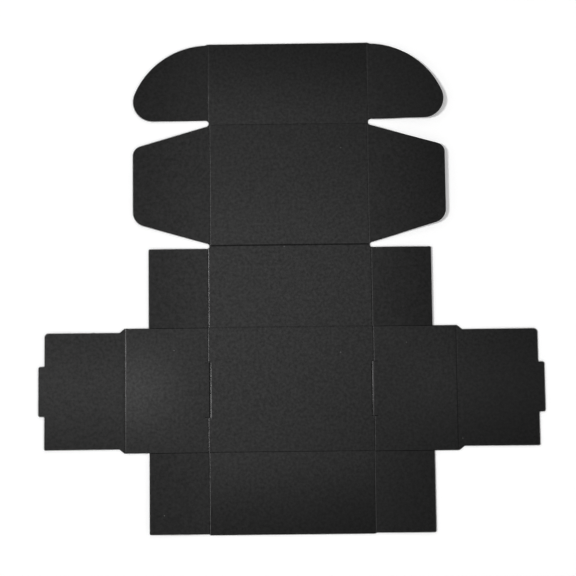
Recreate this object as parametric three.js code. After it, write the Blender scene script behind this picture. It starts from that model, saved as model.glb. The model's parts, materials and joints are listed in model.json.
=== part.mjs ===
// Folding gift box: one die-cut and creased sheet of black card, lying flat with its inner face up.
// Folded up it is a roll-end box with a tuck-in lid. All lengths are in millimetres, +Z is up and
// the origin is the centre of the bottom panel's underside.
// +Y runs from the bottom panel to the back wall, the lid and the tuck panel.
import * as THREE from 'three';

// Inside of the folded box, taken from crease to crease.
const INSIDE_WIDTH = 120;
const INSIDE_DEPTH = 90;
const BACK_HEIGHT = 60;

// The card, and the room that each folded layer needs beside the next one.
const CARD = 0.4;
const PLAY = 0.1;
const LAYER = CARD + PLAY;

// A crease is a crushed strip, thinner than the card and just clear of the panels that it joins.
// A fold turns about the card's inner face. A roll fold turns a little above it, because a corner
// flap lies between the two walls that it joins.
const CREASE_HALF = 0.6;
const ROLL_HALF = 0.9;
const CREASE_GAP = 0.05;
const CREASE_DEPTH = 0.1;
const CREASE_THICKNESS = 0.24;
const ROLL_AXIS_RISE = CARD / 2 + PLAY;

// Lengths of the panels that are not the full inside size.
const LID_DEPTH = INSIDE_DEPTH - LAYER;
const TUCK_DEPTH = BACK_HEIGHT - PLAY;
const FRONT_HEIGHT = 58.7;
const OUTER_WALL_HEIGHT = 60.35;
const WALL_SHORTER = 0.3;

// The side creases step inwards, so that the folded layers lie one inside the other:
// outer wall, corner flaps, inner wall, tuck ears, dust flaps.
const HALF_WIDTH = INSIDE_WIDTH / 2;
const HALF_DEPTH = INSIDE_DEPTH / 2;
const CORNER_FLAP_CREASE = HALF_WIDTH - LAYER;
const EAR_CREASE = HALF_WIDTH - 3 * LAYER;
const DUST_FLAP_CREASE = HALF_WIDTH - 4 * LAYER;
const WALL_HALF_DEPTH = HALF_DEPTH - WALL_SHORTER;

// Corner flaps, which the side walls wrap. They stand just clear of the bottom panel.
const BACK_FLAP_LENGTH = 43.4;
const FRONT_FLAP_LENGTH = 43.1;
const FLAP_CLEARANCE = 0.35;
const BACK_FLAP_TOP = 57.6;
const FRONT_FLAP_TOP = 58.0;
const FLAP_CORNER_RADIUS = 0.8;

// Inner side walls, and the tabs that lock them into the slots.
const INNER_WALL_HALF = 41.9;
const INNER_WALL_LENGTH = 58.35;
const ROLL_SHOULDER = 0.35;
const ROLL_TAPER_END = 4.05;
const INNER_WALL_RADIUS = 2.5;
const TAB_LENGTH = 4.4;
const TAB_HALF = 17.8;
const TAB_RADIUS = 1;

// Slots for the tabs. The card cut out of a slot stays on the outer wall as a short tongue.
const SLOT_HALF = 19.7;
const SLOT_INSET = 1.45;
const SLIT = 0.2;
const SLIT_REACH = 1.1;

// Dust flaps on the lid, tapered from root to end.
const DUST_FLAP_LENGTH = 56.3;
const DUST_ROOT_HALF = 43.8;
const DUST_END_HALF = 27.4;
const DUST_RADIUS = 6.8;

// Tuck ears: a quarter circle about the end of the tuck crease, with a round at its foot.
const EAR_RADIUS = 59.2;
const EAR_FOOT = 3.1;
const EAR_FOOT_RADIUS = 14.8;
const EAR_STEP = 2.6;

// The notches between the flaps end on the creases, so the strips are cut at a slant there.
const FLAP_NOTCH_SLANT = 0.5;
const EAR_NOTCH_SLANT = 1;

// How far the flaps spring up at their creases while the sheet lies unfolded, in degrees.
const EAR_SPRING = { left: 0.8, right: 3 };
const DUST_FLAP_SPRING = { left: 0.8, right: 2.6 };
const BACK_FLAP_SPRING = { left: 1, right: 1.4 };
const FRONT_FLAP_SPRING = { left: 1.4, right: 0.8 };
const INNER_WALL_SPRING = { left: 0.4, right: 0.4 };

// Steps in each rounded corner, and in the long arc of an ear.
const CORNER_STEPS = 6;
const FOOT_STEPS = 12;
const EAR_STEPS = 28;

const cardColour = new THREE.MeshStandardMaterial({ color: 0x2e2e2f, roughness: 0.8, metalness: 0 });
const creaseColour = new THREE.MeshStandardMaterial({ color: 0x242425, roughness: 0.9, metalness: 0 });

// Points along an arc, ends included.
function arcPoints(centre, radius, fromAngle, toAngle, steps) {
  const points = [];
  for (let i = 0; i <= steps; i += 1) {
    const angle = fromAngle + ((toAngle - fromAngle) * i) / steps;
    points.push(new THREE.Vector2(
      centre.x + radius * Math.cos(angle),
      centre.y + radius * Math.sin(angle),
    ));
  }
  return points;
}

// An outline from its corners, each [x, y] or [x, y, radius of its rounding].
function outlinePoints(corners) {
  const points = [];
  corners.forEach(([x, y, radius = 0], i) => {
    const corner = new THREE.Vector2(x, y);
    if (radius === 0) {
      points.push(corner);
      return;
    }
    const before = corners[(i + corners.length - 1) % corners.length];
    const after = corners[(i + 1) % corners.length];
    const back = new THREE.Vector2(before[0] - x, before[1] - y).normalize();
    const ahead = new THREE.Vector2(after[0] - x, after[1] - y).normalize();
    const halfAngle = Math.acos(back.dot(ahead)) / 2;
    const inwards = back.clone().add(ahead).normalize();
    const centre = corner.clone().addScaledVector(inwards, radius / Math.sin(halfAngle));
    const middle = Math.atan2(-inwards.y, -inwards.x);
    const turn = Math.sign(back.cross(ahead)) * (Math.PI / 2 - halfAngle);
    points.push(...arcPoints(centre, radius, middle + turn, middle - turn, CORNER_STEPS));
  });
  return points;
}

// A flat piece of the sheet between two heights. A group's height is that of the card's inner face.
function addSlab(group, name, points, floor, top, material) {
  const geometry = new THREE.ExtrudeGeometry(new THREE.Shape(points), {
    depth: top - floor,
    bevelEnabled: false,
  });
  geometry.translate(0, 0, floor);
  const mesh = new THREE.Mesh(geometry, material);
  mesh.name = name;
  group.add(mesh);
}

function addPanel(group, name, points) {
  addSlab(group, name, points, -CARD, 0, cardColour);
}

function addCrease(group, name, corners) {
  const floor = -CREASE_DEPTH - CREASE_THICKNESS;
  addSlab(group, name, outlinePoints(corners), floor, -CREASE_DEPTH, creaseColour);
}

// A group whose origin is the fold line that its pieces turn about.
function addFold(parent, x, y) {
  const fold = new THREE.Group();
  fold.position.set(x, y, 0);
  parent.add(fold);
  return fold;
}

// A side fold whose pieces are sprung up by some degrees about a line that may lie above the card.
function addSprungFold(parent, side, x, y, degrees, rise = 0) {
  const axis = addFold(parent, side * x, y);
  axis.position.z = rise;
  axis.rotation.y = -side * THREE.MathUtils.degToRad(degrees);
  const pieces = addFold(axis, 0, 0);
  pieces.position.z = -rise;
  return pieces;
}

// The same corners on the other side of the sheet.
function mirrored(corners, side) {
  return corners.map(([x, y, radius = 0]) => [side * x, y, radius]);
}

function rectangle(halfWidth, low, high) {
  return [[-halfWidth, low], [halfWidth, low], [halfWidth, high], [-halfWidth, high]];
}

// A crease across the sheet, as wide at each edge as the panel that it meets there.
function crossCrease(lowHalf, highHalf) {
  const reach = CREASE_HALF - CREASE_GAP;
  return [[-lowHalf, -reach], [lowHalf, -reach], [highHalf, reach], [-highHalf, reach]];
}

// A crease along a side fold, with its low and high end at the inner and at the outer panel.
function sideCrease(side, innerLow, innerHigh, outerLow, outerHigh) {
  const reach = CREASE_HALF - CREASE_GAP;
  return mirrored([
    [-reach, innerLow], [reach, outerLow], [reach, outerHigh], [-reach, innerHigh],
  ], side);
}

// The bottom panel, with the two slots open to its side creases.
function bottomPanel(sheet) {
  const edge = HALF_WIDTH - CREASE_HALF;
  const slotFloor = HALF_WIDTH - SLOT_INSET;
  const far = HALF_DEPTH - CREASE_HALF;
  const rightSide = [
    [edge, -far], [edge, -SLOT_HALF], [slotFloor, -SLOT_HALF],
    [slotFloor, SLOT_HALF], [edge, SLOT_HALF], [edge, far],
  ];
  const leftSide = mirrored(rightSide, -1).reverse();
  addPanel(sheet, 'bottom_panel', outlinePoints([...rightSide, ...leftSide]));
}

// An outer side wall, the tongue that it keeps from the slot, and its crease beside the slot.
function outerWall(sheet, side, word) {
  const wall = addFold(sheet, side * HALF_WIDTH, 0);
  const tongueHalf = SLOT_HALF - SLIT;
  const tongueReach = SLOT_INSET - SLIT;
  const rearHalf = [
    [OUTER_WALL_HEIGHT - ROLL_HALF, WALL_HALF_DEPTH],
    [CREASE_HALF, WALL_HALF_DEPTH],
    [CREASE_HALF, SLOT_HALF],
    [SLIT_REACH, SLOT_HALF],
    [SLIT_REACH, tongueHalf],
    [-tongueReach, tongueHalf],
  ];
  const frontHalf = rearHalf.map(([x, y]) => [x, -y]).reverse();
  addPanel(wall, `${word}_outer_wall`, outlinePoints(mirrored([...rearHalf, ...frontHalf], side)));
  const bottomEnd = HALF_DEPTH - CREASE_HALF;
  addCrease(wall, `crease_${word}_wall_rear`,
    sideCrease(side, SLOT_HALF, bottomEnd, SLOT_HALF, WALL_HALF_DEPTH));
  addCrease(wall, `crease_${word}_wall_front`,
    sideCrease(side, -bottomEnd, -SLOT_HALF, -WALL_HALF_DEPTH, -SLOT_HALF));
  return wall;
}

// An inner side wall with its lock tab. It rolls over the corner flaps and down inside the box.
function innerWall(outer, side, word) {
  const roll = addSprungFold(
    outer, side, OUTER_WALL_HEIGHT, 0, INNER_WALL_SPRING[word], ROLL_AXIS_RISE,
  );
  const taper = (WALL_HALF_DEPTH - INNER_WALL_HALF) / (ROLL_TAPER_END - ROLL_SHOULDER);
  const rootHalf = WALL_HALF_DEPTH - taper * (ROLL_HALF - ROLL_SHOULDER);
  const reach = ROLL_HALF - CREASE_GAP;
  addCrease(roll, `crease_${word}_roll`, mirrored([
    [-reach, -WALL_HALF_DEPTH], [ROLL_SHOULDER, -WALL_HALF_DEPTH], [reach, -rootHalf],
    [reach, rootHalf], [ROLL_SHOULDER, WALL_HALF_DEPTH], [-reach, WALL_HALF_DEPTH],
  ], side));
  addPanel(roll, `${word}_inner_wall`, outlinePoints(mirrored([
    [ROLL_HALF, -rootHalf],
    [ROLL_TAPER_END, -INNER_WALL_HALF],
    [INNER_WALL_LENGTH, -INNER_WALL_HALF],
    [INNER_WALL_LENGTH, -TAB_HALF],
    [INNER_WALL_LENGTH + TAB_LENGTH, -TAB_HALF, TAB_RADIUS],
    [INNER_WALL_LENGTH + TAB_LENGTH, TAB_HALF, TAB_RADIUS],
    [INNER_WALL_LENGTH, TAB_HALF],
    [INNER_WALL_LENGTH, INNER_WALL_HALF, INNER_WALL_RADIUS],
    [ROLL_TAPER_END, INNER_WALL_HALF],
    [ROLL_HALF, rootHalf],
  ], side)));
}

// A corner flap at one end of the back or front wall. Along is +1 at the back and -1 at the front.
function cornerFlap(wall, side, along, flap) {
  const fold = addSprungFold(wall, side, CORNER_FLAP_CREASE, 0, flap.spring);
  const inner = [along * CREASE_HALF, along * (flap.top + FLAP_NOTCH_SLANT)];
  const outer = [along * CREASE_HALF, along * flap.top];
  addCrease(fold, `crease_${flap.name}`, sideCrease(side, ...inner, ...outer));
  addPanel(fold, flap.name, outlinePoints(mirrored([
    [CREASE_HALF, along * FLAP_CLEARANCE],
    [flap.length, along * FLAP_CLEARANCE],
    [flap.length, along * flap.top, FLAP_CORNER_RADIUS],
    [CREASE_HALF, along * flap.top],
  ], side)));
}

// A dust flap at one side of the lid, tapered so that it slides in past the inner wall.
function dustFlap(lid, side, word) {
  const middle = LID_DEPTH / 2;
  const fold = addSprungFold(lid, side, DUST_FLAP_CREASE, middle, DUST_FLAP_SPRING[word]);
  const taper = (DUST_ROOT_HALF - DUST_END_HALF) / DUST_FLAP_LENGTH;
  const rootHalf = DUST_ROOT_HALF - taper * CREASE_HALF;
  const lidHalf = middle - CREASE_HALF;
  addCrease(fold, `crease_${word}_dust_flap`,
    sideCrease(side, -lidHalf, lidHalf, -rootHalf, rootHalf));
  addPanel(fold, `${word}_dust_flap`, outlinePoints(mirrored([
    [CREASE_HALF, -rootHalf],
    [DUST_FLAP_LENGTH, -DUST_END_HALF, DUST_RADIUS],
    [DUST_FLAP_LENGTH, DUST_END_HALF, DUST_RADIUS],
    [CREASE_HALF, rootHalf],
  ], side)));
}

// A tuck ear: its low edge, the round at its foot, the long arc and the step up to the tuck's end.
function tuckEar(tuck, side, word) {
  const fold = addSprungFold(tuck, side, EAR_CREASE, 0, EAR_SPRING[word]);
  addCrease(fold, `crease_${word}_ear`,
    sideCrease(side, EAR_FOOT - EAR_NOTCH_SLANT, TUCK_DEPTH, EAR_FOOT, TUCK_DEPTH));
  const footHeight = EAR_FOOT + EAR_FOOT_RADIUS;
  const footReach = Math.sqrt((EAR_RADIUS - EAR_FOOT_RADIUS) ** 2 - footHeight ** 2);
  const footCentre = new THREE.Vector2(footReach, footHeight);
  const earCentre = new THREE.Vector2(0, 0);
  const join = Math.atan2(footHeight, footReach);
  const arcEnd = Math.acos(EAR_STEP / EAR_RADIUS);
  const points = [
    new THREE.Vector2(CREASE_HALF, EAR_FOOT),
    ...arcPoints(footCentre, EAR_FOOT_RADIUS, -Math.PI / 2, join, FOOT_STEPS).slice(0, -1),
    ...arcPoints(earCentre, EAR_RADIUS, join, arcEnd, EAR_STEPS),
    new THREE.Vector2(CREASE_HALF, TUCK_DEPTH),
  ];
  points.forEach((point) => point.setX(side * point.x));
  addPanel(fold, `${word}_ear`, points);
}

const box = new THREE.Group();
const sheet = addFold(box, 0, 0);
sheet.position.z = CARD;
bottomPanel(sheet);

const bottomHalf = HALF_WIDTH - CREASE_HALF;
const wallHalf = CORNER_FLAP_CREASE - CREASE_HALF;
const lidHalfWidth = DUST_FLAP_CREASE - CREASE_HALF;
const tuckHalfWidth = EAR_CREASE - CREASE_HALF;

const back = addFold(sheet, 0, HALF_DEPTH);
addCrease(back, 'crease_bottom_back', crossCrease(bottomHalf, wallHalf));
addPanel(back, 'back_wall',
  outlinePoints(rectangle(wallHalf, CREASE_HALF, BACK_HEIGHT - CREASE_HALF)));

const front = addFold(sheet, 0, -HALF_DEPTH);
addCrease(front, 'crease_bottom_front', crossCrease(wallHalf, bottomHalf));
addPanel(front, 'front_wall', outlinePoints(rectangle(wallHalf, -FRONT_HEIGHT, -CREASE_HALF)));

const lid = addFold(back, 0, BACK_HEIGHT);
addCrease(lid, 'crease_back_lid', crossCrease(wallHalf, lidHalfWidth));
addPanel(lid, 'lid_panel',
  outlinePoints(rectangle(lidHalfWidth, CREASE_HALF, LID_DEPTH - CREASE_HALF)));

const tuck = addFold(lid, 0, LID_DEPTH);
addCrease(tuck, 'crease_lid_tuck', crossCrease(lidHalfWidth, tuckHalfWidth));
addPanel(tuck, 'tuck_panel', outlinePoints(rectangle(tuckHalfWidth, CREASE_HALF, TUCK_DEPTH)));

for (const [side, word] of [[-1, 'left'], [1, 'right']]) {
  innerWall(outerWall(sheet, side, word), side, word);
  cornerFlap(back, side, 1, {
    name: `back_${word}_corner_flap`,
    length: BACK_FLAP_LENGTH,
    top: BACK_FLAP_TOP,
    spring: BACK_FLAP_SPRING[word],
  });
  cornerFlap(front, side, -1, {
    name: `front_${word}_corner_flap`,
    length: FRONT_FLAP_LENGTH,
    top: FRONT_FLAP_TOP,
    spring: FRONT_FLAP_SPRING[word],
  });
  dustFlap(lid, side, word);
  tuckEar(tuck, side, word);
}

export default box;
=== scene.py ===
# %% [markdown]
# # A folding gift box, laid out flat
#
# The real box starts as one sheet of black card. A die cuts its outline, presses a groove wherever
# it will fold, and slits two slots that the side walls lock into. This lesson makes the sheet the
# same way: one outline first, then the panels and the grooves are parted from it.
# The frame holds the measured panels and their folds, so most sizes here are read from it.

# %% Load the frame
import json
import math
import bmesh
import bpy
from mathutils import Matrix, Vector

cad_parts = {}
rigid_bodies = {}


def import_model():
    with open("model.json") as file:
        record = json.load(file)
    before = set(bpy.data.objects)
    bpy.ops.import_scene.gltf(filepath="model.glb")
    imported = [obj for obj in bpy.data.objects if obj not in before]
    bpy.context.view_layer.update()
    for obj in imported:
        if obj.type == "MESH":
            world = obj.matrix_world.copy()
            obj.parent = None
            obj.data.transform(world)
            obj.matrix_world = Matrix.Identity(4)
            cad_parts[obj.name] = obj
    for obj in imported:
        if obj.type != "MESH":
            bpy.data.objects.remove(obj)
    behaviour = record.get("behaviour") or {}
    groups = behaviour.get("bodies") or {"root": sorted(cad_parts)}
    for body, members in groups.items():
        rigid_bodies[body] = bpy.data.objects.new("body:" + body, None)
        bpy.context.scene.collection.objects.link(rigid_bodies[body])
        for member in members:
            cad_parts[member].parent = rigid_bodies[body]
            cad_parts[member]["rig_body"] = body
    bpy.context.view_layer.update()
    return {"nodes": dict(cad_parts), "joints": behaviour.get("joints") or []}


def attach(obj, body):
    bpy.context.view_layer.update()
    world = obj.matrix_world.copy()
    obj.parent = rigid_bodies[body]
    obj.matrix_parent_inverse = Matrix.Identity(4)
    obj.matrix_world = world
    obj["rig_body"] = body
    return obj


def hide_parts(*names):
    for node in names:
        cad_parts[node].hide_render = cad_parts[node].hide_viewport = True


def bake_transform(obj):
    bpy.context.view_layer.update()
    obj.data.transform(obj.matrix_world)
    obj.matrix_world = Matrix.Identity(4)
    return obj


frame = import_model()
MM = 0.001

# %% [markdown]
# ## Where the sheet folds
#
# Each panel has its own fold, and the frame gives the line it turns about. The flaps don't lie quite
# flat: the pressed card springs up by about one to three degrees. A fold's lower limit says by how
# much, since that limit is the flat sheet. Pieces are made flat and then turned by that lift.

# %% Read the folds
folds = {joint["child"]: joint for joint in frame["joints"]}


def fold_place(body):
    return Vector(folds[body]["pos_m"]) / MM


def lift(body, share=1.0):
    """The turn about its own fold that a body, or a share of it, has while the sheet lies."""
    if body not in folds:
        return Matrix.Identity(4)
    place = fold_place(body)
    degrees = -folds[body]["range_deg"][0] * share
    turn = Matrix.Rotation(math.radians(degrees), 4, Vector(folds[body]["axis"]))
    return Matrix.Translation(place) @ turn @ Matrix.Translation(-place)


def flat_box(node):
    """Lowest and highest corner of a node in mm, with its fold opened flat."""
    cad = frame["nodes"][node]
    opened = lift(cad["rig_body"]).inverted()
    places = [opened @ (vertex.co / MM) for vertex in cad.data.vertices]
    low = Vector([min(place[i] for place in places) for i in range(3)])
    high = Vector([max(place[i] for place in places) for i in range(3)])
    return low, high


CARD = flat_box("bottom_panel")[1].z
BACK_Y = fold_place("back").y
FRONT_Y = fold_place("front").y
LID_Y = fold_place("lid").y
TUCK_Y = fold_place("tuck").y
WALL_X = fold_place("right_outer").x
ROLL_X = fold_place("right_inner").x
FLAP_X = fold_place("back_right_flap").x
DUST_X = fold_place("right_dust").x
EAR_X = fold_place("right_ear_flap").x
print("card", round(CARD, 2), "mm thick")
print("folds across at Y", [round(y, 2) for y in (FRONT_Y, BACK_Y, LID_Y, TUCK_Y)])
print("folds along at X", [round(x, 2) for x in (DUST_X, EAR_X, FLAP_X, WALL_X, ROLL_X)])

# %% [markdown]
# ## Black card
#
# The sheet is dyed through, so its face, its pressed grooves and its cut edges share one colour and
# differ in finish. The face is calendered but keeps a fine felt tooth, which a picture shows as a soft
# mottle. Noise at three sizes makes it: cloudy tone, felt and single fibres. It reads Object
# coordinates, so it runs on unbroken from one panel to the next, as on a sheet cut in one go.

# %% Material helpers
NOISE_ROUGHNESS = 0.6
NOISE_LOW = 0.3
NOISE_HIGH = 0.7


def add(nodes, kind, **settings):
    """A shader node. Settings that name an input set its value, the others are the node's own."""
    node = nodes.new(kind)
    for name, value in settings.items():
        if name in node.inputs:
            node.inputs[name].default_value = value
        else:
            setattr(node, name, value)
    return node


def noise(nodes, links, place, size, detail):
    """A soft pattern, whose values lie mostly between NOISE_LOW and NOISE_HIGH."""
    pattern = add(nodes, "ShaderNodeTexNoise", Scale=1 / size, Detail=detail, Roughness=NOISE_ROUGHNESS)
    links.new(place.outputs["Object"], pattern.inputs["Vector"])
    return pattern.outputs["Fac"]


def remap(nodes, links, value, low, high, from_low=NOISE_LOW, from_high=NOISE_HIGH):
    """Stretches a value from one range to another, and clamps it there."""
    node = add(nodes, "ShaderNodeMapRange")
    node.inputs["From Min"].default_value = from_low
    node.inputs["From Max"].default_value = from_high
    node.inputs["To Min"].default_value = low
    node.inputs["To Max"].default_value = high
    links.new(value, node.inputs["Value"])
    return node.outputs["Result"]


def multiply(nodes, links, first, second):
    node = add(nodes, "ShaderNodeMath", operation="MULTIPLY")
    links.new(first, node.inputs[0])
    links.new(second, node.inputs[1])
    return node.outputs["Value"]


print("noise is read between", NOISE_LOW, "and", NOISE_HIGH)

# %% [markdown]
# ## Painted sheen
#
# The sheen isn't even. The side walls gleam most in their middle, the outer ones most of all near the
# roll. The lid, the front wall, the tuck panel and the flaps grow dull away from the fold that carries
# them. This is painted sheen: the gloss is raised and lowered where the slightly bowed and tilted
# panels of the real sheet catch more or less of the lamps, since the pieces here lie flat. Each of
# these is a smooth step along an axis, or two of them multiplied, between the places where the face is
# dullest and brightest. A painted map would do it too, but steps are easier to tune.

# %% Map the painted sheen
def painted_sheen_share(nodes, links, place, steps):
    """0 where the painted sheen is dullest and 1 where it is brightest."""
    split = nodes.new("ShaderNodeSeparateXYZ")
    links.new(place.outputs["Object"], split.inputs["Vector"])
    shares = []
    for axis, dull, bright in steps:
        distance = add(nodes, "ShaderNodeMath", operation="ABSOLUTE")
        links.new(split.outputs[axis], distance.inputs[0])
        share = remap(nodes, links, distance.outputs["Value"], 0, 1, dull * MM, bright * MM)
        share.node.interpolation_type = "SMOOTHSTEP"
        shares.append(share)
    return shares[0] if len(shares) == 1 else multiply(nodes, links, *shares)


to_roll = [("X", WALL_X, ROLL_X), ("Y", BACK_Y, 0)]
for axis, dull, bright in to_roll:
    print("an outer wall's gleam along", axis, "grows from", round(dull, 2), "to", round(bright, 2), "mm")

# %% [markdown]
# ## Pale flecks
#
# Dyed card keeps a few fibres that took no dye. A flat cell texture gives one point to each square of
# a net, and its random cell colour picks the squares whose point is shown. In space most points would
# miss the thin sheet. Scattered discs would be pieces of their own, so a texture suits better.

# %% Add the flecks
FLECK_CELL = 42 * MM
FLECK_SIZE = 0.42 * MM
FLECK_CORE = 0.5
FLECK_FROM = 0.76
FLECK_FULL = 0.8
FLECK_TONE = 0.16


def add_flecks(nodes, links, place, colour):
    """One pale fleck at most in each square of a coarse net, in about a fifth of the squares."""
    cells = add(nodes, "ShaderNodeTexVoronoi", voronoi_dimensions="2D")
    cells.inputs["Scale"].default_value = 1 / FLECK_CELL
    links.new(place.outputs["Object"], cells.inputs["Vector"])
    reach = FLECK_SIZE / FLECK_CELL
    near = remap(nodes, links, cells.outputs["Distance"], 1, 0, reach * FLECK_CORE, reach)
    split = nodes.new("ShaderNodeSeparateColor")
    links.new(cells.outputs["Color"], split.inputs["Color"])
    chosen = remap(nodes, links, split.outputs["Red"], 0, 1, FLECK_FROM, FLECK_FULL)
    mix = add(nodes, "ShaderNodeMix", data_type="RGBA")
    links.new(multiply(nodes, links, near, chosen), mix.inputs["Factor"])
    links.new(colour, mix.inputs["A"])
    mix.inputs["B"].default_value = (FLECK_TONE, FLECK_TONE, FLECK_TONE, 1)
    return mix.outputs["Result"]


print("a fleck is", round(2 * FLECK_SIZE / MM, 2), "mm wide at most")

# %% [markdown]
# ## The card's material
#
# Colour, sheen and relief all follow the same felt pattern, as they do on real card: a hollow of the
# felt is a little darker, duller and lower than a top. The relief is a bump, because the tooth is far
# finer than any mesh should be.

# %% Build the card's material
CARD_TONE = 0.006
CLOUD = 45 * MM
FELT = 2.1 * MM
FIBRE = 0.35 * MM
FIBRE_SHARE = 0.1
CLOUD_SPREAD = 0.04
TONE_SPREAD = 0.12
GLEAM_SPREAD = 0.28
DULLING = 0.03


def black_card(name, gloss, roughness, tooth, painted_sheen=None):
    """Dyed card. Tooth is the depth of its felt. Painted sheen is its steps and the gloss at both ends.
    """
    material = bpy.data.materials.new(name)
    material.use_nodes = True
    nodes, links = material.node_tree.nodes, material.node_tree.links
    shader = nodes["Principled BSDF"]
    place = nodes.new("ShaderNodeTexCoord")
    cloud = noise(nodes, links, place, CLOUD, detail=2)
    felt = noise(nodes, links, place, FELT, detail=4)
    fibre = noise(nodes, links, place, FIBRE, detail=2)

    # Colour: clouds times felt, then a few pale flecks of undyed fibre.
    cloud_tone = remap(nodes, links, cloud, 1 - CLOUD_SPREAD, 1 + CLOUD_SPREAD)
    felt_tone = remap(nodes, links, felt, 1 - TONE_SPREAD, 1 + TONE_SPREAD)
    dyed = add(nodes, "ShaderNodeMix", data_type="RGBA", blend_type="MULTIPLY")
    dyed.inputs["Factor"].default_value = 1
    dyed.inputs["A"].default_value = (CARD_TONE, CARD_TONE, CARD_TONE, 1)
    links.new(multiply(nodes, links, cloud_tone, felt_tone), dyed.inputs["B"])
    colour = add_flecks(nodes, links, place, dyed.outputs["Result"])
    links.new(colour, shader.inputs["Base Color"])

    # Sheen: the felt's hollows are duller than its tops, and give back less.
    dulled = remap(nodes, links, felt, roughness + DULLING, roughness - DULLING)
    links.new(dulled, shader.inputs["Roughness"])
    gleam = remap(nodes, links, felt, gloss * (1 - GLEAM_SPREAD), gloss * (1 + GLEAM_SPREAD))
    # Painted sheen: the steps scale the gloss, so that parts of a panel gleam more or less under the
    # lamps.
    if painted_sheen:
        steps, dullest, brightest = painted_sheen
        share = painted_sheen_share(nodes, links, place, steps)
        gleam = multiply(nodes, links, gleam, remap(nodes, links, share, dullest, brightest, 0, 1))
    links.new(gleam, shader.inputs["Specular IOR Level"])

    # Tooth: felt and fibre as relief.
    relief = add(nodes, "ShaderNodeMath", operation="MULTIPLY_ADD")
    relief.inputs[1].default_value = FIBRE_SHARE
    links.new(fibre, relief.inputs[0])
    links.new(felt, relief.inputs[2])
    bump = add(nodes, "ShaderNodeBump", Strength=1.0, Distance=tooth)
    links.new(relief.outputs["Value"], bump.inputs["Height"])
    links.new(bump.outputs["Normal"], shader.inputs["Normal"])
    return material


print("felt of", round(FELT / MM, 2), "mm and fibres of", round(FIBRE / MM, 2), "mm")

# %% [markdown]
# ## The finishes
#
# One recipe serves them all, with a gloss, a roughness and a tooth for each. The tables give the
# panels with painted sheen, with the share of the plain gloss at the dullest and at the brightest
# place. A pressed groove has lost half its tooth, the one at the back of the lid most of its gloss too,
# so that it reads darker, and a cut side is raw and almost without gloss.

# %% Make the finishes
face_finish = {"gloss": 0.5, "roughness": 0.38, "tooth": 0.04 * MM}
LID_DULL_Y = 165
ROLL_EDGE = 1
ROLL_BAND = 3
FRONT_END_Y = -flat_box("front_wall")[0].y
TUCK_END_Y = flat_box("tuck_panel")[1].y
past_roll = [("X", ROLL_X + ROLL_EDGE, ROLL_X + ROLL_BAND), ("Y", BACK_Y, 0)]

face = black_card("black_card_face", **face_finish)
# Painted sheen of the panels: their steps, and the share of the gloss at the dullest and brightest place.
painted_sheen_faces = {
    "left_outer_wall": (to_roll, 0.88, 1.48),
    "right_outer_wall": (to_roll, 0.98, 1.32),
    "left_inner_wall": (past_roll, 0.75, 0.98),
    "right_inner_wall": (to_roll, 0.95, 1.22),
    "front_wall": ([("Y", FRONT_END_Y, BACK_Y)], 0.66, 1.08),
    "tuck_panel": ([("Y", TUCK_END_Y, TUCK_Y)], 0.7, 1.05),
    "lid_panel": ([("Y", LID_DULL_Y, LID_Y)], 0.92, 1.03),
}
# Painted sheen of the flaps: each fold's X, and the share of the gloss at the free end and at the fold.
flap_painted_sheen = {
    "back_left_corner_flap": (FLAP_X, 0.65, 0.83),
    "back_right_corner_flap": (FLAP_X, 0.5, 0.72),
    "front_left_corner_flap": (FLAP_X, 0.74, 0.88),
    "front_right_corner_flap": (FLAP_X, 0.82, 0.95),
    "left_dust_flap": (DUST_X, 0.61, 0.8),
    "right_dust_flap": (DUST_X, 0.46, 0.68),
    "left_ear": (EAR_X, 0.55, 0.76),
    "right_ear": (EAR_X, 0.6, 0.76),
}
for node, (crease_x, dullest, brightest) in flap_painted_sheen.items():
    free_end = max(abs(corner.x) for corner in flat_box(node))
    painted_sheen_faces[node] = ([("X", free_end, crease_x)], dullest, brightest)
for node, painted_sheen in painted_sheen_faces.items():
    painted_sheen_faces[node] = black_card(f"black_card_{node}", painted_sheen=painted_sheen, **face_finish)
groove = black_card("black_card_groove", gloss=0.5, roughness=0.4, tooth=0.02 * MM)
dull_groove = black_card("black_card_hard_groove", gloss=0.2, roughness=0.6, tooth=0.02 * MM)
cut_edge = black_card("black_card_cut_edge", gloss=0.08, roughness=0.85, tooth=0.03 * MM)
print("finishes:", len(bpy.data.materials))

# %% [markdown]
# ## The cutting rule
#
# A die maker bends one steel rule into the outline of the sheet. The outline here is drawn the same
# way: a pen draws straight runs to a corner, and bmesh's spin turns it along the long arcs. Only the
# right half is drawn, because the blank is the same on both sides of its middle line.

# %% The pen that follows the rule
class Rule:
    def __init__(self, x, y):
        self.mesh = bmesh.new()
        self.tip = self.mesh.verts.new((x, y, CARD))
        self.round_corners = []

    def to(self, x, y, tangent=0.0):
        """A straight run. The corner at its end may be rounded, starting so far before it."""
        corner = self.mesh.verts.new((x, y, CARD))
        self.mesh.edges.new((self.tip, corner))
        self.tip = corner
        if tangent:
            self.round_corners.append((corner, tangent))

    def turn(self, x, y, degrees, steps):
        """An arc about a centre, counter-clockwise seen from above where degrees is positive."""
        spun = bmesh.ops.spin(
            self.mesh, geom=[self.tip], cent=(x, y, CARD), axis=(0, 0, 1),
            angle=math.radians(degrees), steps=steps, use_duplicate=False,
        )
        self.tip = next(v for v in spun["geom_last"] if isinstance(v, bmesh.types.BMVert))


print("the pen draws on the card's upper side, at", round(CARD, 2), "mm")

# %% [markdown]
# ## Notches
#
# Where two flaps part, the rule makes a round that touches the straight edge of one, the slanted edge
# of the other, and ends on the groove. That fixes its radius, so it is worked out and not measured.

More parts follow.
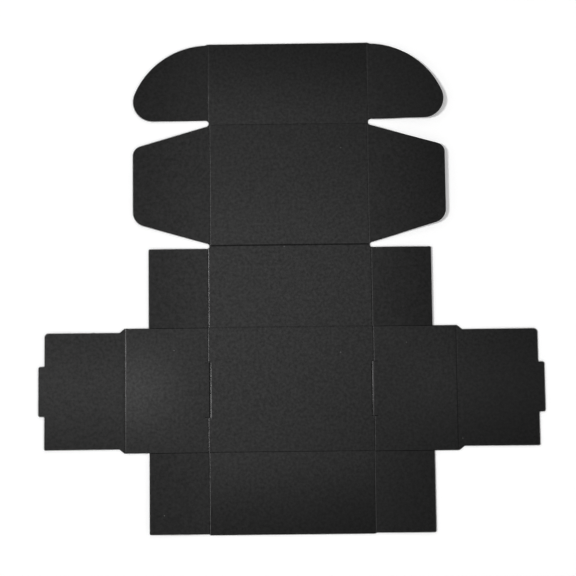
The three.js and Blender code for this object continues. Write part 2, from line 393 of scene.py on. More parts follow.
# %% Work out the rounds in the notches
NOTCH_X = 58.4
dust_low, dust_high = flat_box("right_dust_flap")
DUST_MIDDLE = (dust_low.y + dust_high.y) / 2
DUST_END_HALF = 27.4
DUST_SLOPE = ((dust_high.y - dust_low.y) / 2 - DUST_END_HALF) / (dust_high.x - dust_low.x)
SLANT = math.degrees(math.atan(DUST_SLOPE))


def dust_edge(x):
    """Half the dust flap's width, where its straight slanted edge crosses x."""
    return DUST_END_HALF + DUST_SLOPE * (dust_high.x - x)


def notch_radius(edge_y):
    """Radius of the round between a straight edge and the dust flap's slanted one."""
    slanted_y = DUST_MIDDLE + math.copysign(dust_edge(NOTCH_X), edge_y - DUST_MIDDLE)
    gap = abs(edge_y - slanted_y)
    return gap / (1 + math.hypot(1, DUST_SLOPE) - DUST_SLOPE)


back_flap = flat_box("back_right_corner_flap")
ear = flat_box("right_ear")
FLAP_TOP = back_flap[1].y
EAR_FOOT = ear[0].y
back_notch = notch_radius(FLAP_TOP)
tuck_notch = notch_radius(EAR_FOOT)
print("notch radii", round(back_notch, 2), "and", round(tuck_notch, 2), "mm")
print("the dust flap slants by", round(SLANT, 1), "degrees")

# %% [markdown]
# ## The outline, right half
#
# The path starts in the middle of the front edge and goes up the right side to the tuck panel's end.
# Between a corner flap and the side wall the rule only parts the card, so the gap there is a hair.

# %% Draw the right half of the outline
KERF = 0.08
KERF_INSET = 0.1
KERF_END_X = FLAP_X + KERF_INSET
CORNER_RADIUS = 0.8
WALL_RADIUS = 2.5
TAB_RADIUS = 1.0
DUST_FRONT_RADIUS = 9.8
DUST_REAR_RADIUS = 6.8
ROLL_SHOULDER = 0.35
TAPER_END = 4.05
INNER_HALF = 41.9
TAB_HALF = 17.8
TAB_LENGTH = 4.4
NOTCH_STEPS = 18

front_wall = flat_box("front_wall")
front_flap = flat_box("front_right_corner_flap")
inner_wall = flat_box("right_inner_wall")
wall_half = BACK_Y - KERF
# How far before a corner of the dust flap's end its round starts, for each mm of radius.
tangent_share = math.tan(math.radians(45 - SLANT / 2))

rule = Rule(0, front_wall[0].y)
rule.to(front_wall[1].x, front_wall[0].y)
rule.to(front_flap[0].x, front_flap[0].y)
rule.to(front_flap[1].x, front_flap[0].y, CORNER_RADIUS)
rule.to(front_flap[1].x, -BACK_Y)
rule.to(KERF_END_X, -BACK_Y)
rule.to(KERF_END_X, -wall_half)
rule.to(ROLL_X + ROLL_SHOULDER, -wall_half)
rule.to(ROLL_X + TAPER_END, -INNER_HALF)
rule.to(inner_wall[1].x - TAB_LENGTH, -INNER_HALF)
rule.to(inner_wall[1].x - TAB_LENGTH, -TAB_HALF)
rule.to(inner_wall[1].x, -TAB_HALF, TAB_RADIUS)
rule.to(inner_wall[1].x, TAB_HALF, TAB_RADIUS)
rule.to(inner_wall[1].x - TAB_LENGTH, TAB_HALF)
rule.to(inner_wall[1].x - TAB_LENGTH, INNER_HALF, WALL_RADIUS)
rule.to(ROLL_X + TAPER_END, INNER_HALF)
rule.to(ROLL_X + ROLL_SHOULDER, wall_half)
rule.to(KERF_END_X, wall_half)
rule.to(KERF_END_X, BACK_Y)
rule.to(back_flap[1].x, BACK_Y)
rule.to(back_flap[1].x, FLAP_TOP, CORNER_RADIUS)
rule.to(NOTCH_X + back_notch, FLAP_TOP)
rule.turn(NOTCH_X + back_notch, FLAP_TOP + back_notch, SLANT - 180, NOTCH_STEPS)
rule.to(dust_high.x, DUST_MIDDLE - DUST_END_HALF, DUST_FRONT_RADIUS * tangent_share)
rule.to(dust_high.x, DUST_MIDDLE + DUST_END_HALF, DUST_REAR_RADIUS * tangent_share)
rule.to(
    NOTCH_X + tuck_notch * (1 - math.sin(math.radians(SLANT))),
    EAR_FOOT - tuck_notch * (1 + math.cos(math.radians(SLANT))),
)
print("pen stands at", [round(value, 2) for value in rule.tip.co])

# %% [markdown]
# ## The ear
#
# A tuck ear is a quarter circle about the end of the tuck fold, so that it can swing into the box past
# the walls. Its foot is a smaller round that touches both the low edge and the big arc from inside.

# %% Draw the ear and close the half sheet
EAR_RADIUS = 59.2
FOOT_RADIUS = 14.4
ARC_END_X = 2.6
FOOT_STEPS = 24
EAR_STEPS = 56
foot_y = EAR_FOOT + FOOT_RADIUS
foot_x = EAR_X + math.sqrt((EAR_RADIUS - FOOT_RADIUS) ** 2 - (foot_y - TUCK_Y) ** 2)
join = math.degrees(math.atan2(foot_y - TUCK_Y, foot_x - EAR_X))
arc_end = math.degrees(math.acos(ARC_END_X / EAR_RADIUS))

rule.turn(NOTCH_X + tuck_notch, EAR_FOOT - tuck_notch, SLANT - 180, NOTCH_STEPS)
rule.to(foot_x, EAR_FOOT)
rule.turn(foot_x, foot_y, 90 + join, FOOT_STEPS)
rule.turn(EAR_X, TUCK_Y, arc_end - join, EAR_STEPS)
rule.to(ear[0].x, TUCK_END_Y)
rule.to(0, TUCK_END_Y)
sheet = rule.mesh
sheet.verts.ensure_lookup_table()
sheet.edges.new((rule.tip, sheet.verts[0]))
bmesh.ops.contextual_create(sheet, geom=sheet.edges[:])
half_area = sum(part.calc_area() for part in sheet.faces) / 100
print("half outline:", len(sheet.verts), "points, area", round(half_area, 1), "cm2")

# %% [markdown]
# ## Rounded corners, and the other half
#
# A vertex bevel rounds the corners that the rule takes in a small radius. Then the half is mirrored
# and the middle line dissolved, which leaves one face with the whole outline of the blank.

# %% Round the corners and mirror the sheet
CORNER_STEPS = 8
WELD = 0.001
for corner, tangent in rule.round_corners:
    bmesh.ops.bevel(
        sheet, geom=[corner], offset=tangent, segments=CORNER_STEPS, profile=0.5,
        affect="VERTICES", material=-1,
    )
half_sheet = sheet.verts[:] + sheet.edges[:] + sheet.faces[:]
bmesh.ops.mirror(sheet, geom=half_sheet, merge_dist=WELD, axis="X")
middle = [edge for edge in sheet.edges if len(edge.link_faces) == 2]
bmesh.ops.dissolve_edges(sheet, edges=middle, use_verts=False)
bmesh.ops.recalc_face_normals(sheet, faces=sheet.faces[:])
if sheet.faces[:][0].normal.z < 0:
    bmesh.ops.reverse_faces(sheet, faces=sheet.faces[:])
area = sum(part.calc_area() for part in sheet.faces) / 100
print("whole sheet:", len(sheet.faces), "face,", len(sheet.verts), "points, area", round(area, 1), "cm2")

# %% [markdown]
# ## Parting the panels
#
# Each panel and each groove gets a copy of the sheet and is trimmed to its own convex field, one
# straight cut for each side of the field. Neighbours share those cuts exactly, so nothing gapes.

# %% Trim, cut out and mirror fields
FAR = 500
TOUCH = 0.0005


def field(x_low, y_low, x_high, y_high):
    return [(x_low, y_low), (x_high, y_low), (x_high, y_high), (x_low, y_high)]


def mirrored(corners, side):
    """The same field on the side given as 1 or -1, still counter-clockwise."""
    return corners if side > 0 else [(-x, y) for x, y in reversed(corners)]


def everything(mesh):
    return mesh.verts[:] + mesh.edges[:] + mesh.faces[:]


def trimmed(corners):
    """A copy of the sheet inside a convex field whose corners go round counter-clockwise."""
    mesh = sheet.copy()
    for (x, y), (next_x, next_y) in zip(corners, corners[1:] + corners[:1]):
        bmesh.ops.bisect_plane(
            mesh, geom=everything(mesh), dist=TOUCH, plane_co=(x, y, CARD),
            plane_no=(next_y - y, x - next_x, 0), clear_outer=True,
        )
    return mesh


def cut_along(mesh, place, normal):
    bmesh.ops.bisect_plane(mesh, geom=everything(mesh), dist=TOUCH, plane_co=place, plane_no=normal)


def cut_out(mesh, x_low, y_low, x_high, y_high):
    """Takes a rectangle out of the flat mesh, and joins what its cuts parted beyond it."""
    for x in (x_low, x_high):
        cut_along(mesh, (x, 0, 0), (1, 0, 0))
    for y in (y_low, y_high):
        cut_along(mesh, (0, y, 0), (0, 1, 0))
    inside = []
    for part in mesh.faces:
        centre = part.calc_center_median()
        if x_low < centre.x < x_high and y_low < centre.y < y_high:
            inside.append(part)
    bmesh.ops.delete(mesh, geom=inside, context="FACES")
    spare = [edge for edge in mesh.edges if len(edge.link_faces) == 2]
    bmesh.ops.dissolve_edges(mesh, edges=spare, use_verts=False)


print("a point within", TOUCH, "mm of a cut counts as lying on it")

# %% [markdown]
# ## From flat shape to card
#
# The flat shape is drawn down by the card's thickness. A steel rule leaves a crushed, slightly rounded
# rim, so the rims that it cut are bevelled. The sides that meet a groove aren't cut on the real sheet,
# and stay square, which lets panel and groove close up without a line. Whatever isn't level after that
# is a rim or a cut side, and takes the raw finish.

# %% Thicken a flat shape and round its cut rims
RIM = 0.14
RIM_STEPS = 3
SHORTEST_RIM = 1.5 * KERF
ON_LINE = 4 * TOUCH
UPRIGHT = 0.5
LEVEL = 0.99999


def on_border(edge, corners):
    """Whether an edge lies on one side of its piece's field, where a neighbour goes on."""
    for (x, y), (next_x, next_y) in zip(corners, corners[1:] + corners[:1]):
        across = Vector((next_y - y, x - next_x)).normalized()
        if all(abs((v.co.xy - Vector((x, y))).dot(across)) < ON_LINE for v in edge.verts):
            return True
    return False


def thicken(mesh, corners):
    """Draws the flat shape down to the card's thickness and rounds the rims that the rule cut."""
    grown = bmesh.ops.extrude_face_region(mesh, geom=mesh.faces[:])
    low = [v for v in grown["geom"] if isinstance(v, bmesh.types.BMVert)]
    bmesh.ops.translate(mesh, vec=(0, 0, -CARD), verts=low)
    bmesh.ops.recalc_face_normals(mesh, faces=mesh.faces[:])
    rims = []
    for edge in mesh.edges:
        upright = [abs(part.normal.z) < UPRIGHT for part in edge.link_faces]
        if sum(upright) != 1 or edge.calc_length() < SHORTEST_RIM:
            continue
        if not on_border(edge, corners):
            rims.append(edge)
    bmesh.ops.bevel(
        mesh, geom=rims, offset=RIM, segments=RIM_STEPS, profile=0.5, affect="EDGES",
        clamp_overlap=False, material=-1,
    )
    mesh.normal_update()
    for part in mesh.faces:
        part.material_index = int(abs(part.normal.z) < LEVEL)


print("a rim is rounded over", RIM, "mm in", RIM_STEPS, "steps")

# %% [markdown]
# ## Handing a piece over
#
# The modelling is in millimetres, since card is thin and the tools weld by distance. A finished piece
# is turned by its lift and scaled to metres, in its mesh, so its object stays at the origin. Its first
# finish is for the faces that lie level, or are pressed, and the second is for what the rule cut.

# %% Finish a piece
SMOOTH_LIMIT = math.radians(50)


def hand_over(mesh, node, finish):
    """Makes the object that stands for a node of the frame."""
    for edge in mesh.edges:
        edge.smooth = edge.calc_face_angle() < SMOOTH_LIMIT
    bmesh.ops.transform(mesh, matrix=Matrix.Scale(MM, 4), verts=mesh.verts[:])
    data = bpy.data.meshes.new(node + "_card")
    mesh.to_mesh(data)
    mesh.free()
    data.materials.append(finish)
    data.materials.append(cut_edge)
    piece = bpy.data.objects.new(node + "_card", data)
    bpy.context.scene.collection.objects.link(piece)
    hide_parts(node)
    return piece


def finish_panel(node, mesh):
    """Shades a panel, turns it by its lift and lets it ride on its body."""
    mesh.normal_update()
    for part in mesh.faces:
        part.smooth = abs(part.normal.z) < LEVEL
    body = frame["nodes"][node]["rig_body"]
    bmesh.ops.transform(mesh, matrix=lift(body), verts=mesh.verts[:])
    piece = hand_over(mesh, node, painted_sheen_faces.get(node, face))
    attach(piece, body)


def lay_panel(node, mesh, corners):
    thicken(mesh, corners)
    finish_panel(node, mesh)


print("edges up to", round(math.degrees(SMOOTH_LIMIT)), "degrees are shaded smooth")

# %% [markdown]
# ## The plain panels
#
# Most panels are what the outline leaves between two grooves, so a field is all that they need. A
# field may reach far past the sheet on the sides where the outline itself ends the panel.

# %% Lay the plain panels
HALF = flat_box("back_wall")[0].y - BACK_Y
ROLL_HALF = inner_wall[0].x - ROLL_X
PARTING = BACK_Y - KERF / 2

fields = {
    "back_wall": field(HALF - FLAP_X, BACK_Y + HALF, FLAP_X - HALF, LID_Y - HALF),
    "front_wall": field(HALF - FLAP_X, -FAR, FLAP_X - HALF, FRONT_Y - HALF),
    "lid_panel": field(HALF - DUST_X, LID_Y + HALF, DUST_X - HALF, TUCK_Y - HALF),
    "tuck_panel": field(HALF - EAR_X, TUCK_Y + HALF, EAR_X - HALF, FAR),
}
for side, word in ((-1, "left"), (1, "right")):
    right_fields = {
        f"back_{word}_corner_flap": field(FLAP_X + HALF, PARTING, FAR, LID_Y - HALF),
        f"front_{word}_corner_flap": field(FLAP_X + HALF, -FAR, FAR, -PARTING),
        f"{word}_dust_flap": field(DUST_X + HALF, LID_Y - HALF, FAR, TUCK_Y + HALF),
        f"{word}_ear": field(EAR_X + HALF, TUCK_Y + HALF, FAR, FAR),
    }
    for node, corners in right_fields.items():
        fields[node] = mirrored(corners, side)
for node, corners in fields.items():
    lay_panel(node, trimmed(corners), corners)
print(len(fields), "plain panels laid; a groove is", 2 * round(HALF, 2), "mm wide")

# %% [markdown]
# ## Inner walls
#
# An inner wall ends in its lock tab, which the outline already gives. The blank was held in its waste
# by small nicks, and one of them is still a nub on the left wall's rear edge.

# %% Lay the inner walls
NUB_X = -143.6
NUB_HALF = 0.45
NUB_HEIGHT = 0.35
NUB_TAPER = 0.6
NEAR = 0.01


def add_nub(mesh, x, y):
    """Draws a short piece of the rim outwards, where a nick was torn."""
    for cut in (x - NUB_HALF, x + NUB_HALF):
        cut_along(mesh, (cut, 0, 0), (1, 0, 0))
    torn = []
    for edge in mesh.edges:
        centre = (edge.verts[0].co + edge.verts[1].co) / 2
        if abs(centre.x - x) < NUB_HALF / 2 and abs(centre.y - y) < NEAR:
            torn.append(edge)
    grown = bmesh.ops.extrude_edge_only(mesh, edges=torn)
    tips = [v for v in grown["geom"] if isinstance(v, bmesh.types.BMVert)]
    bmesh.ops.translate(mesh, vec=(0, NUB_HEIGHT, 0), verts=tips)
    bmesh.ops.scale(mesh, vec=(NUB_TAPER, 1, 1), space=Matrix.Translation((-x, 0, 0)), verts=tips)


for side, word in ((-1, "left"), (1, "right")):
    corners = mirrored(field(ROLL_X + ROLL_HALF, -FAR, FAR, FAR), side)
    mesh = trimmed(corners)
    if side < 0:
        add_nub(mesh, NUB_X, INNER_HALF)
    lay_panel(f"{word}_inner_wall", mesh, corners)
print("inner walls end in tabs", TAB_LENGTH, "mm long")

# %% [markdown]
# ## The lips of a slot
#
# Each slot is a slit that the rule makes, and it crushes the card beside the cut, so both lips sink. It
# leaned a little: the lip on the slit's right is wide, keeps the face's finish and catches the light of
# the side lamp, and the one on its left is narrower and sinks less. A few lines are cut beside the
# slit, and each is then lowered, most of all the rim, because a bevel can't give such an uneven curve.

# %% Sink the lips of a slot
SLOT_HALF = 19.7
LIP_STEPS = 5
# Each of these is keyed by the lip: 1 is the one on a slit's right, and -1 the one on its left.
LIP_WIDTH = {1: 1.2, -1: 0.7}
LIP_POWER = {1: 1.25, -1: 1.2}
LEFT_SLOT_SINK = {1: 0.37, -1: 0.2}
RIGHT_SLOT_SINK = {1: 0.3, -1: 0.2}


def divide_lip(mesh, x, direction):
    """Cuts lines beside a slit, so that the lip on its right (1) or left (-1) can sink in a curve."""
    width = LIP_WIDTH[direction]
    for step in range(1, LIP_STEPS + 1):
        cut_along(mesh, (x + direction * width * step / LIP_STEPS, 0, 0), (1, 0, 0))
    for y in (SLOT_HALF, SLOT_HALF + width):
        cut_along(mesh, (0, y, 0), (0, 1, 0))
        cut_along(mesh, (0, -y, 0), (0, 1, 0))


def sink_lip(mesh, x, direction):
    """Presses the lip down from its upper side, most at its rim. A right lip keeps the face's finish."""
    width = LIP_WIDTH[direction]
    sink = LEFT_SLOT_SINK[direction] if x < 0 else RIGHT_SLOT_SINK[direction]
    for vertex in mesh.verts:
        reach = (vertex.co.x - x) * direction / width
        past_end = max(0, abs(vertex.co.y) - SLOT_HALF) / width
        if -TOUCH < reach < 1 and past_end < 1:
            share = (1 - max(0, reach)) ** LIP_POWER[direction] * (1 - past_end)
            vertex.co.z *= 1 - share * sink / CARD
    for part in mesh.faces:
        reach = (part.calc_center_median().x - x) * direction / width
        if direction > 0 and 0 < reach < 1 and part.normal.z > 0:
            part.material_index = 0


print("slots", 2 * SLOT_HALF, "mm long, lips sunk by up to", LEFT_SLOT_SINK[1], "mm")

# %% [markdown]
# ## The bottom panel
#
# The slits lie a little inside the side walls' folds, so the bottom panel loses a narrow strip at each
# one to the wall beside it. The strip is cut out of the flat sheet, before it is given its thickness.

# %% Lay the bottom panel
SLOT_INSET = 1.25
SLOT_X = WALL_X - SLOT_INSET

corners = field(HALF - WALL_X, FRONT_Y + HALF, WALL_X - HALF, BACK_Y - HALF)
mesh = trimmed(corners)
for side in (-1, 1):
    low_x, high_x = sorted((side * SLOT_X, side * WALL_X))
    cut_out(mesh, low_x, -SLOT_HALF, high_x, SLOT_HALF)
for side in (-1, 1):
    divide_lip(mesh, side * SLOT_X, -side)
thicken(mesh, corners)
for side in (-1, 1):
    sink_lip(mesh, side * SLOT_X, -side)
finish_panel("bottom_panel", mesh)
print("each slit lies", SLOT_INSET, "mm inside its wall's fold")

# %% [markdown]
# ## Outer walls and their tongues
#
# The rule parts a slot on three sides only, and what it parts stays on the outer wall as a tongue. The
# slit gapes a little at both ends of a slot, most at the front, and is nearly shut along its side.

# %% Lay the outer walls
TONGUE_GAP = 0.04
TONGUE_X = SLOT_X + TONGUE_GAP
SLIT_TAIL = 2.4
SLIT_END_X = WALL_X + SLIT_TAIL
SLIT_GAPS = {1: 0.14, -1: 0.25}


def cut_beside(mesh, side, end, x_low, y_low, x_high, y_high):
    """Takes out a rectangle given for the right side, at the slot's rear (1) or front (-1) end."""
    low_x, high_x = sorted((side * x_low, side * x_high))
    low_y, high_y = sorted((end * y_low, end * y_high))
    cut_out(mesh, low_x, low_y, high_x, high_y)


for side, word in ((-1, "left"), (1, "right")):
    borders = mirrored(field(WALL_X + HALF, -PARTING, ROLL_X - ROLL_HALF, PARTING), side)
    mesh = trimmed(mirrored(field(TONGUE_X, -PARTING, ROLL_X - ROLL_HALF, PARTING), side))
    for end, gap in SLIT_GAPS.items():
        cut_beside(mesh, side, end, SLOT_X, SLOT_HALF - gap, WALL_X + HALF, FAR)
        cut_beside(mesh, side, end, WALL_X, SLOT_HALF - gap, SLIT_END_X, SLOT_HALF)
    divide_lip(mesh, side * TONGUE_X, side)
    thicken(mesh, borders)
    sink_lip(mesh, side * TONGUE_X, side)
    finish_panel(f"{word}_outer_wall", mesh)
print("tongues stand", TONGUE_GAP, "mm off, and the slits gape by", list(SLIT_GAPS.values()), "mm")

# %% [markdown]
# ## The shape of a groove
#
# A creasing rule crushes the card into a groove, and that is where it will bend. The press is a cosine:
# it starts level with the panels, which hides where the pieces meet. Under an ordinary groove the card
# keeps a low bead between two fine marks. Under a roll it is pressed from both sides. The grooves
# aren't all worn alike, and the one between back wall and lid is the deepest.

# %% Shape a groove
GROOVE_DEPTH = 0.14
WORN_DEPTHS = {
    "crease_left_ear": 0.05,
    "crease_right_ear": 0.04,
    "crease_left_dust_flap": 0.09,
    "crease_right_dust_flap": 0.05,
    "crease_back_right_corner_flap": 0.08,
    "crease_front_left_corner_flap": 0.12,
    "crease_front_right_corner_flap": 0.08,
    "crease_back_lid": 0.2,
    "crease_bottom_back": 0.09,
    "crease_left_wall_rear": 0.11,
    "crease_right_wall_rear": 0.12,
    "crease_right_wall_front": 0.1,
    "crease_left_roll": 0.15,
    "crease_right_roll": 0.07,
}
BEAD_MARK = 0.04
ROLL_UNDER = 0.08


def dip(reach):
    """1 in the middle of a groove, where reach is 0, and 0 at its edges, where it is -1 and 1."""
    return (1 + math.cos(math.pi * reach)) / 2


def bead(reach):
    """How far the underside is pressed up beside an ordinary groove's bead."""
    return BEAD_MARK * math.sin(math.pi * reach) ** 2


def hollow(reach):
    """How far the underside is pressed up under a roll."""
    return ROLL_UNDER * dip(reach)


def ease(share):
    """A smooth start and end for a share from 0 to 1."""
    return share * share * (3 - 2 * share)


print("grooves are", min(WORN_DEPTHS.values()), "to", max(WORN_DEPTHS.values()), "mm deep")

# %% [markdown]
# ## Laying a groove
#
# Each groove is its own strip, parted into narrow columns so that it can bend smoothly. Across its
# width it takes on its own panel's lift step by step, none at one side and all of it at the other. A
# rigid strip would gape on one side. The one at the back of the lid has a duller finish, so it reads
# darker.

# %% Press and lay a groove
COLUMNS = 12


def across_fold(body):
    """The level direction from a fold's parent panel towards its own."""
    return Vector((0, 0, 1)).cross(Vector(folds[body]["axis"]))


def press(mesh, body, half, depth, underside):
    """Sinks the strip's upper side, shapes its underside and bends it by its panel's lift."""
    place = fold_place(body)
    across = across_fold(body)
    for vertex in mesh.verts:
        reach = max(-1, min(1, (vertex.co - place).dot(across) / half))
        height = vertex.co.z / CARD
        vertex.co.z -= height * depth * dip(reach)
        vertex.co.z += (1 - height) * underside(reach)
        vertex.co = lift(body, ease((reach + 1) / 2)) @ vertex.co


def lay_groove(node, corners, half, underside):
    """Makes a strip of the sheet that bends from its fold's parent body to its own."""
    body = frame["nodes"][node]["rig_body"]
    place = fold_place(body)
    across = across_fold(body)
    mesh = trimmed(corners)
    for column in range(1, COLUMNS):
        cut_along(mesh, place + across * half * (2 * column / COLUMNS - 1), across)
    thicken(mesh, corners)
    press(mesh, body, half, WORN_DEPTHS.get(node, GROOVE_DEPTH), underside)
    for part in mesh.faces:
        part.smooth = True
    # The groove at the back of the lid gets a duller finish than the rest, so it reads darker.
    finish = dull_groove if node == "crease_back_lid" else groove
    piece = hand_over(mesh, node, finish)
    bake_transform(piece)


print("a groove bends in", COLUMNS, "columns")

# %% [markdown]
# ## Grooves across the sheet
#
# A strip ends where another fold begins, on a slant that leaves the material between two folds with
# one of them. That could be done with a square end and a small patch between the strips, but a patch
# would belong to neither fold.

# %% Lay the grooves across the sheet
NOTCH_CLEAR = 0.1
NOTCH_EDGE = NOTCH_X + NOTCH_CLEAR


def both_sides(right_points):
    """A field from the points of its right end, given from front to back."""
    return right_points + [(-x, y) for x, y in reversed(right_points)]


groove_fields = {
    "crease_bottom_back": both_sides([
        (WALL_X - HALF, BACK_Y - HALF), (WALL_X - HALF, PARTING), (FLAP_X - HALF, BACK_Y + HALF),
    ]),
    "crease_bottom_front": both_sides([
        (FLAP_X - HALF, FRONT_Y - HALF), (WALL_X - HALF, -PARTING), (WALL_X - HALF, FRONT_Y + HALF),
    ]),
    "crease_back_lid": both_sides([(NOTCH_EDGE, LID_Y - HALF), (DUST_X - HALF, LID_Y + HALF)]),
    "crease_lid_tuck": both_sides([(DUST_X - HALF, TUCK_Y - HALF), (NOTCH_EDGE, TUCK_Y + HALF)]),
}
for node, corners in groove_fields.items():
    lay_groove(node, corners, HALF, bead)
print(len(groove_fields), "grooves laid across the sheet")

# %% [markdown]
# ## Grooves along the sheet
#
# These come in pairs, so they are written for the right side and mirrored to the left. The slots break
# the side walls' grooves in two. The roll at each side wall's top is wider than the rest, since the
# card turns right over there.

# %% Lay the grooves along the sheet
for side, word in ((-1, "left"), (1, "right")):
    right_fields = {
        f"crease_{word}_wall_rear": field(WALL_X - HALF, SLOT_HALF, WALL_X + HALF, PARTING),
        f"crease_{word}_wall_front": field(WALL_X - HALF, -PARTING, WALL_X + HALF, -SLOT_HALF),
        f"crease_back_{word}_corner_flap": [
            (WALL_X - HALF, PARTING), (FLAP_X + HALF, PARTING), (FLAP_X + HALF, LID_Y - HALF),
            (FLAP_X - HALF, LID_Y - HALF), (FLAP_X - HALF, BACK_Y + HALF),
        ],
        f"crease_front_{word}_corner_flap": [
            (FLAP_X - HALF, -FAR), (FLAP_X + HALF, -FAR), (FLAP_X + HALF, -PARTING),
            (WALL_X - HALF, -PARTING), (FLAP_X - HALF, FRONT_Y - HALF),
        ],
        f"crease_{word}_dust_flap": [
            (DUST_X - HALF, LID_Y + HALF), (NOTCH_EDGE, LID_Y - HALF), (DUST_X + HALF, LID_Y - HALF),
            (DUST_X + HALF, TUCK_Y + HALF), (NOTCH_EDGE, TUCK_Y + HALF), (DUST_X - HALF, TUCK_Y - HALF),
        ],
        f"crease_{word}_ear": field(EAR_X - HALF, TUCK_Y + HALF, EAR_X + HALF, FAR),
    }
    for node, corners in right_fields.items():
        lay_groove(node, mirrored(corners, side), HALF, bead)
for side, word in ((-1, "left"), (1, "right")):
    corners = mirrored(field(ROLL_X - ROLL_HALF, -FAR, ROLL_X + ROLL_HALF, FAR), side)
    lay_groove(f"crease_{word}_roll", corners, ROLL_HALF, hollow)
print(2 * len(right_fields) + 2, "grooves laid along the sheet")
print("a roll is", round(2 * ROLL_HALF, 2), "mm wide")

# %% [markdown]
# ## A pale table
#
# The sheet lies on plain white. The floor's own colour does most of that. A little light, seen only by
# the camera and in shine or glass, brings it to full white, so that shadows still darken it. Colour
# and light both fade where something hangs close over the floor. That fade is painted shade, a contact
# shadow under the lifted flaps and in each cut, which would otherwise glow.

# %% Make the floor
FLOOR_SIZE = 12
FLOOR_DROP = 0.03 * MM
FLOOR_TONE = 0.9
FLOOR_ROUGHNESS = 0.9
FLOOR_GLOSS = 0.1
FLOOR_FILL = 0.26
FILL_REACH = 1.5 * MM
FILL_SAMPLES = 8
CLOSED = 0.55

floor_material = bpy.data.materials.new("white_table")
floor_material.use_nodes = True
nodes, links = floor_material.node_tree.nodes, floor_material.node_tree.links
shader = nodes["Principled BSDF"]
shader.inputs["Roughness"].default_value = FLOOR_ROUGHNESS
shader.inputs["Specular IOR Level"].default_value = FLOOR_GLOSS
shader.inputs["Emission Color"].default_value = (1, 1, 1, 1)
path = nodes.new("ShaderNodeLightPath")
seen = add(nodes, "ShaderNodeMath", operation="MAXIMUM")
links.new(path.outputs["Is Camera Ray"], seen.inputs[0])
links.new(path.outputs["Is Glossy Ray"], seen.inputs[1])
seen_through = add(nodes, "ShaderNodeMath", operation="MAXIMUM")
links.new(seen.outputs["Value"], seen_through.inputs[0])
links.new(path.outputs["Is Transmission Ray"], seen_through.inputs[1])
# Painted shade: an occlusion test darkens the floor's colour and its fill light close under the card.
painted_shade_ao = add(nodes, "ShaderNodeAmbientOcclusion", samples=FILL_SAMPLES, Distance=FILL_REACH)
tone = remap(nodes, links, painted_shade_ao.outputs["AO"], 0, FLOOR_TONE, CLOSED, 1)
fill = remap(nodes, links, painted_shade_ao.outputs["AO"], 0, FLOOR_FILL, CLOSED, 1)
links.new(tone, shader.inputs["Base Color"])
strength = multiply(nodes, links, seen_through.outputs["Value"], fill)
links.new(strength, shader.inputs["Emission Strength"])

mesh = bmesh.new()
bmesh.ops.create_grid(mesh, x_segments=1, y_segments=1, size=FLOOR_SIZE / 2)
bmesh.ops.translate(mesh, vec=(0, 0, -FLOOR_DROP), verts=mesh.verts[:])
floor_data = bpy.data.meshes.new("floor")
mesh.to_mesh(floor_data)
mesh.free()
floor_data.materials.append(floor_material)
floor = bpy.data.objects.new("floor", floor_data)
bpy.context.scene.collection.objects.link(floor)
print("floor", FLOOR_SIZE, "m square")

# %% [markdown]
# ## Light
#
# Black card shows little but its sheen, so the lamps are placed by it. A softbox overhead and a little
# to the left lays a broad sheen that fades towards the sheet's ends. A far lamp, lower on the left,
# picks out the side of each groove that faces it and throws a narrow shadow past the flaps that spring
# up on the right. A point lamp would give hard, bright spots on the card instead.

# %% Hang the lamps
BOX_PLACE = Vector((-0.1, 0.11, 0.9))
BOX_AIM = Vector((0, 0.03, 0))
BOX_SIZE = (0.7, 0.6)
BOX_POWER = 1.3
SIDE_DISTANCE = 2
SIDE_ELEVATION = 44
SIDE_REARWARD = 5
SIDE_SPREAD = 12
SIDE_STRENGTH = 2.2


def hang(name, kind, place, aim, strength):
    """A lamp at a place, turned towards an aim, that the camera doesn't see."""
    data = bpy.data.lights.new(name, kind)
    data.energy = strength
    lamp = bpy.data.objects.new(name, data)
    lamp.location = place
    lamp.rotation_euler = (aim - place).to_track_quat("-Z", "Y").to_euler()
    lamp.visible_camera = False
    bpy.context.scene.collection.objects.link(lamp)
    return data


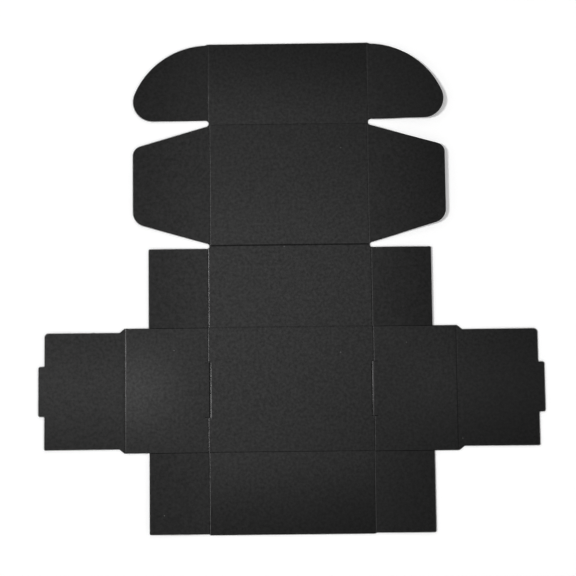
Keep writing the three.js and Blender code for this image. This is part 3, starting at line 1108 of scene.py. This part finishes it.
softbox = hang("softbox", "AREA", BOX_PLACE, BOX_AIM, BOX_POWER)
softbox.shape = "RECTANGLE"
softbox.size, softbox.size_y = BOX_SIZE
raised = Matrix.Rotation(math.radians(SIDE_ELEVATION), 4, "Y")
turned_back = Matrix.Rotation(math.radians(-SIDE_REARWARD), 4, "Z")
side_place = turned_back @ raised @ Vector((-SIDE_DISTANCE, 0, 0))
side_lamp = hang("side_lamp", "SUN", side_place, Vector(), SIDE_STRENGTH)
side_lamp.angle = math.radians(SIDE_SPREAD)
print("softbox at", [round(value, 2) for value in BOX_PLACE], "m")
print("side lamp at", SIDE_ELEVATION, "degrees")

# %% [markdown]
# ## The room
#
# Everything around the sheet is plain white near the horizon and dark overhead. The white lights the
# sides of a folded box from all round. Overhead the dark keeps the flat card from a grey veil.

# %% Make the room
HORIZON = 1.1
ZENITH = 0.0
WHITE_BELOW = 0.3
DARK_ABOVE = 0.6

world = bpy.data.worlds.new("studio")
world.use_nodes = True
bpy.context.scene.world = world
nodes, links = world.node_tree.nodes, world.node_tree.links
direction = nodes.new("ShaderNodeTexCoord")
split = nodes.new("ShaderNodeSeparateXYZ")
links.new(direction.outputs["Generated"], split.inputs["Vector"])
brightness = remap(nodes, links, split.outputs["Z"], HORIZON, ZENITH, WHITE_BELOW, DARK_ABOVE)
links.new(brightness, nodes["Background"].inputs["Strength"])
nodes["Background"].inputs["Color"].default_value = (1, 1, 1, 1)
print("the room is dark above", round(math.degrees(math.asin(DARK_ABOVE))), "degrees")

# %% [markdown]
# ## The camera
#
# The picture is taken from almost straight above, with a slightly long lens. The small leans below
# are the ones that bring the corners of the measured sheet closest to their places in the picture.

# %% Make the camera
CAMERA_PLACE = Vector((1.59, 27.34, 727.24)) * MM
CAMERA_LEANS = {"Z": -0.673, "X": 3.621, "Y": 0.290}
FOCAL_LENGTH = 62.5
SENSOR = 36

turn = Matrix.Identity(4)
for axis, degrees in CAMERA_LEANS.items():
    turn = turn @ Matrix.Rotation(math.radians(degrees), 4, axis)
camera_data = bpy.data.cameras.new("camera")
camera_data.lens = FOCAL_LENGTH
camera_data.sensor_fit = "HORIZONTAL"
camera_data.sensor_width = SENSOR
camera_data.clip_start = 0.01
camera = bpy.data.objects.new("camera", camera_data)
camera.matrix_world = Matrix.Translation(CAMERA_PLACE) @ turn
bpy.context.scene.collection.objects.link(camera)
bpy.context.scene.camera = camera
bpy.context.scene.view_settings.view_transform = "Standard"
print("camera", [round(value, 3) for value in CAMERA_PLACE], "m, lens", FOCAL_LENGTH, "mm")
